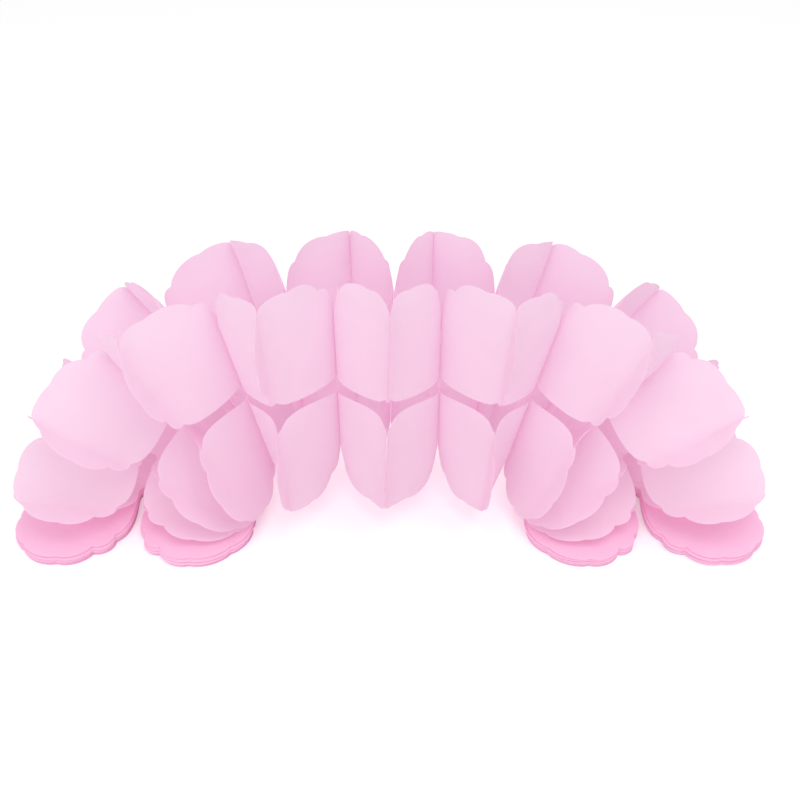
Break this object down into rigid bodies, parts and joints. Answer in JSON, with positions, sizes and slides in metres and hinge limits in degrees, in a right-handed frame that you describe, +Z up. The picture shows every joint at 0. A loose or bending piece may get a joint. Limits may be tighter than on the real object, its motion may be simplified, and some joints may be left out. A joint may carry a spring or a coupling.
{
  "type": "paper clover garland",
  "caption": "Pink tissue paper garland of die-cut clover sheets, glued along straight lines and fanned out into a low arch between two pressed end piles.",
  "frame": {"origin": "middle of the footprint, on the surface that the end cards lie on", "axes": "+X along the garland to the right pile, +Y away from the viewer, +Z up"},
  "size_m": [0.47, 0.1492, 0.1672],
  "materials": {
    "tissue": "matt translucent tissue paper",
    "card": "matt card"
  },
  "bodies": {
    "root": {"end_card_left": "card", "end_card_right": "card", "pile_left": "tissue", "pile_right": "tissue", "sheet_01": "tissue", "sheet_02": "tissue", "sheet_03": "tissue", "sheet_04": "tissue", "sheet_05": "tissue", "sheet_06": "tissue", "sheet_07": "tissue", "sheet_08": "tissue", "sheet_09": "tissue", "sheet_10": "tissue", "sheet_11": "tissue", "sheet_12": "tissue", "sheet_13": "tissue", "sheet_14": "tissue", "sheet_15": "tissue", "sheet_16": "tissue", "sheet_17": "tissue", "sheet_18": "tissue"}
  },
  "joints": []
}
